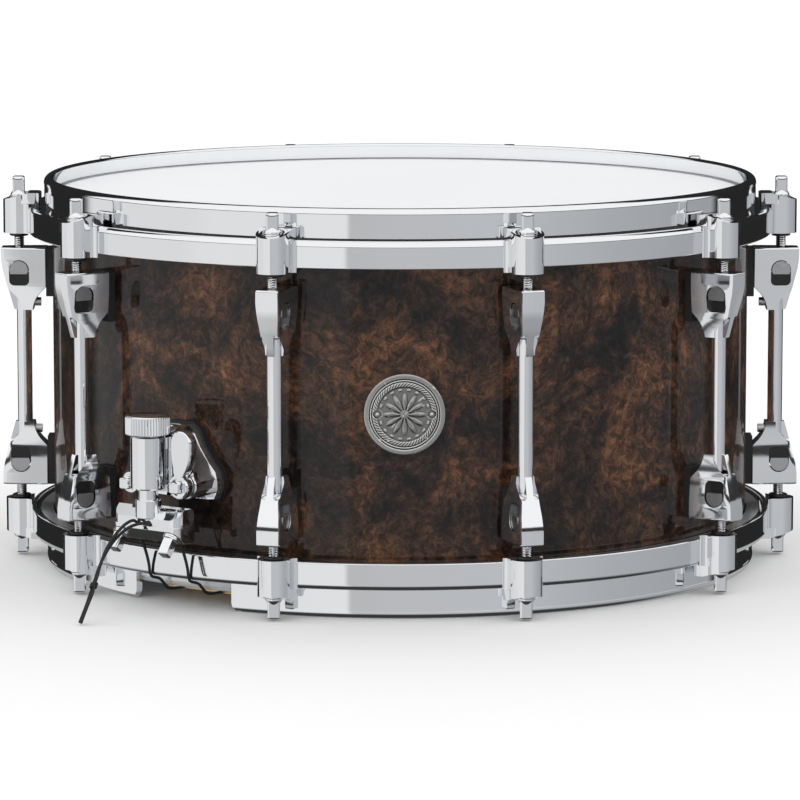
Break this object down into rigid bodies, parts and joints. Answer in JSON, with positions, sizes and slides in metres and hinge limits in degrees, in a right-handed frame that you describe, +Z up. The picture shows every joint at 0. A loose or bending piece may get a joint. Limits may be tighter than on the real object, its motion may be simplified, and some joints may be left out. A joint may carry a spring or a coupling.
{
  "type": "snare drum",
  "caption": "Deep fourteen inch snare drum in a dark burl shell, with chrome double hoops held by claws, tube lugs, a badge and a throw-off strainer.",
  "frame": {"origin": "on the surface that the lower rim stands on, under the drum's axis", "axes": "+Z up along the drum's axis, -Y to the front where the badge is, +X to the right seen from the front"},
  "size_m": [0.4088, 0.3956, 0.1975],
  "materials": {
    "burl_lacquer": "high gloss lacquer over dark burl veneer",
    "hoop_chrome": "polished",
    "chrome": "polished",
    "screw_steel": "satin",
    "badge_metal": "antiqued and brushed",
    "batter_coating": "coated white film",
    "snare_film": "thin hazy film",
    "aluminium_hoop": "satin",
    "black_plastic": "semi gloss",
    "black_rubber": "matt",
    "black_cord": "braided",
    "snare_wire_steel": "bright drawn wire",
    "brass_plate": "satin"
  },
  "bodies": {
    "drum": {"shell": "burl_lacquer", "badge": "badge_metal", "badge_pins": "badge_metal", "air_vent": "chrome", "batter_head_film": "batter_coating", "batter_head_hoop": "aluminium_hoop", "snare_head_film": "snare_film", "snare_head_hoop": "aluminium_hoop", "top_hoop": "hoop_chrome", "bottom_hoop": "hoop_chrome", "hoop_claws": "chrome", "rod_washers": "screw_steel", "claw_collars": "black_plastic", "lug_castings": "chrome", "lug_tubes": "chrome", "lug_gaskets": "black_rubber", "swivel_nuts": "screw_steel", "nut_inserts": "black_plastic", "lug_screws": "screw_steel", "tube_set_screws": "screw_steel", "strainer_base": "chrome", "strainer_gasket": "black_rubber", "strainer_base_bolts": "chrome", "butt_base": "chrome", "butt_gasket": "black_rubber", "butt_clamp": "chrome", "butt_bolts": "chrome", "butt_cord": "black_cord"},
    "tension_rod_top_01": {"tension_rod_top_01": "chrome"},
    "tension_rod_top_02": {"tension_rod_top_02": "chrome"},
    "tension_rod_top_03": {"tension_rod_top_03": "chrome"},
    "tension_rod_top_04": {"tension_rod_top_04": "chrome"},
    "tension_rod_top_05": {"tension_rod_top_05": "chrome"},
    "tension_rod_top_06": {"tension_rod_top_06": "chrome"},
    "tension_rod_top_07": {"tension_rod_top_07": "chrome"},
    "tension_rod_top_08": {"tension_rod_top_08": "chrome"},
    "tension_rod_top_09": {"tension_rod_top_09": "chrome"},
    "tension_rod_top_10": {"tension_rod_top_10": "chrome"},
    "tension_rod_bottom_01": {"tension_rod_bottom_01": "chrome"},
    "tension_rod_bottom_02": {"tension_rod_bottom_02": "chrome"},
    "tension_rod_bottom_03": {"tension_rod_bottom_03": "chrome"},
    "tension_rod_bottom_04": {"tension_rod_bottom_04": "chrome"},
    "tension_rod_bottom_05": {"tension_rod_bottom_05": "chrome"},
    "tension_rod_bottom_06": {"tension_rod_bottom_06": "chrome"},
    "tension_rod_bottom_07": {"tension_rod_bottom_07": "chrome"},
    "tension_rod_bottom_08": {"tension_rod_bottom_08": "chrome"},
    "tension_rod_bottom_09": {"tension_rod_bottom_09": "chrome"},
    "tension_rod_bottom_10": {"tension_rod_bottom_10": "chrome"},
    "lever": {"throwoff_lever": "chrome"},
    "carriage": {"strainer_carriage": "chrome"},
    "knob": {"tension_knob": "chrome"},
    "cord_clamp": {"clamp_stem": "chrome", "clamp_upper_jaw": "chrome", "clamp_lower_jaw": "chrome", "clamp_bolts": "chrome", "strainer_cord": "black_cord", "cord_tail": "black_cord"},
    "snares": {"snare_wires": "snare_wire_steel", "snare_end_plates": "brass_plate"}
  },
  "joints": [
    {"name": "tension_rod_top_01_turn", "type": "hinge", "parent": "drum", "child": "tension_rod_top_01", "pos_m": [-0.06035, 0.18574, 0.187], "axis": [0, 0, 1], "continuous": true},
    {"name": "tension_rod_top_02_turn", "type": "hinge", "parent": "drum", "child": "tension_rod_top_02", "pos_m": [-0.158, 0.11479, 0.187], "axis": [0, 0, 1], "continuous": true},
    {"name": "tension_rod_top_03_turn", "type": "hinge", "parent": "drum", "child": "tension_rod_top_03", "pos_m": [-0.1953, 0, 0.187], "axis": [0, 0, 1], "continuous": true},
    {"name": "tension_rod_top_04_turn", "type": "hinge", "parent": "drum", "child": "tension_rod_top_04", "pos_m": [-0.158, -0.11479, 0.187], "axis": [0, 0, 1], "continuous": true},
    {"name": "tension_rod_top_05_turn", "type": "hinge", "parent": "drum", "child": "tension_rod_top_05", "pos_m": [-0.06035, -0.18574, 0.187], "axis": [0, 0, 1], "continuous": true},
    {"name": "tension_rod_top_06_turn", "type": "hinge", "parent": "drum", "child": "tension_rod_top_06", "pos_m": [0.06035, -0.18574, 0.187], "axis": [0, 0, 1], "continuous": true},
    {"name": "tension_rod_top_07_turn", "type": "hinge", "parent": "drum", "child": "tension_rod_top_07", "pos_m": [0.158, -0.11479, 0.187], "axis": [0, 0, 1], "continuous": true},
    {"name": "tension_rod_top_08_turn", "type": "hinge", "parent": "drum", "child": "tension_rod_top_08", "pos_m": [0.1953, 0, 0.187], "axis": [0, 0, 1], "continuous": true},
    {"name": "tension_rod_top_09_turn", "type": "hinge", "parent": "drum", "child": "tension_rod_top_09", "pos_m": [0.158, 0.11479, 0.187], "axis": [0, 0, 1], "continuous": true},
    {"name": "tension_rod_top_10_turn", "type": "hinge", "parent": "drum", "child": "tension_rod_top_10", "pos_m": [0.06035, 0.18574, 0.187], "axis": [0, 0, 1], "continuous": true},
    {"name": "tension_rod_bottom_01_turn", "type": "hinge", "parent": "drum", "child": "tension_rod_bottom_01", "pos_m": [-0.06035, 0.18574, 0.0105], "axis": [0, 0, 1], "continuous": true},
    {"name": "tension_rod_bottom_02_turn", "type": "hinge", "parent": "drum", "child": "tension_rod_bottom_02", "pos_m": [-0.158, 0.11479, 0.0105], "axis": [0, 0, 1], "continuous": true},
    {"name": "tension_rod_bottom_03_turn", "type": "hinge", "parent": "drum", "child": "tension_rod_bottom_03", "pos_m": [-0.1953, 0, 0.0105], "axis": [0, 0, 1], "continuous": true},
    {"name": "tension_rod_bottom_04_turn", "type": "hinge", "parent": "drum", "child": "tension_rod_bottom_04", "pos_m": [-0.158, -0.11479, 0.0105], "axis": [0, 0, 1], "continuous": true},
    {"name": "tension_rod_bottom_05_turn", "type": "hinge", "parent": "drum", "child": "tension_rod_bottom_05", "pos_m": [-0.06035, -0.18574, 0.0105], "axis": [0, 0, 1], "continuous": true},
    {"name": "tension_rod_bottom_06_turn", "type": "hinge", "parent": "drum", "child": "tension_rod_bottom_06", "pos_m": [0.06035, -0.18574, 0.0105], "axis": [0, 0, 1], "continuous": true},
    {"name": "tension_rod_bottom_07_turn", "type": "hinge", "parent": "drum", "child": "tension_rod_bottom_07", "pos_m": [0.158, -0.11479, 0.0105], "axis": [0, 0, 1], "continuous": true},
    {"name": "tension_rod_bottom_08_turn", "type": "hinge", "parent": "drum", "child": "tension_rod_bottom_08", "pos_m": [0.1953, 0, 0.0105], "axis": [0, 0, 1], "continuous": true},
    {"name": "tension_rod_bottom_09_turn", "type": "hinge", "parent": "drum", "child": "tension_rod_bottom_09", "pos_m": [0.158, 0.11479, 0.0105], "axis": [0, 0, 1], "continuous": true},
    {"name": "tension_rod_bottom_10_turn", "type": "hinge", "parent": "drum", "child": "tension_rod_bottom_10", "pos_m": [0.06035, 0.18574, 0.0105], "axis": [0, 0, 1], "continuous": true},
    {"name": "carriage_slide", "type": "slide", "parent": "drum", "child": "carriage", "axis": [0, 0, -1], "range_m": [0, 0.006], "deforming": ["strainer_cord", "cord_tail"]},
    {"name": "throwoff_lever_swing", "type": "hinge", "parent": "drum", "child": "lever", "pos_m": [-0.10493, -0.17419, 0.063], "axis": [0.5878, 0.809, 0], "range_deg": [0, 90]},
    {"name": "clamp_adjust", "type": "slide", "parent": "carriage", "child": "cord_clamp", "axis": [0, 0, 1], "range_m": [-0.0016, 0.0016], "deforming": ["strainer_cord", "cord_tail"]},
    {"name": "tension_knob_turn", "type": "hinge", "parent": "carriage", "child": "knob", "pos_m": [-0.12108, -0.16666, 0.092], "axis": [0, 0, 1], "range_deg": [-720, 720]},
    {"name": "snare_drop", "type": "hinge", "parent": "drum", "child": "snares", "pos_m": [0.0964, 0.13268, 0.0056], "axis": [0.809, -0.5878, 0], "range_deg": [0, 0.8]}
  ],
  "couplings": [
    {"joint": "throwoff_lever_swing", "follows": "carriage_slide", "rad_per_m": 261.79},
    {"joint": "snare_drop", "follows": "carriage_slide", "rad_per_m": 2.25},
    {"joint": "tension_knob_turn", "follows": "clamp_adjust", "rad_per_m": -7850}
  ]
}
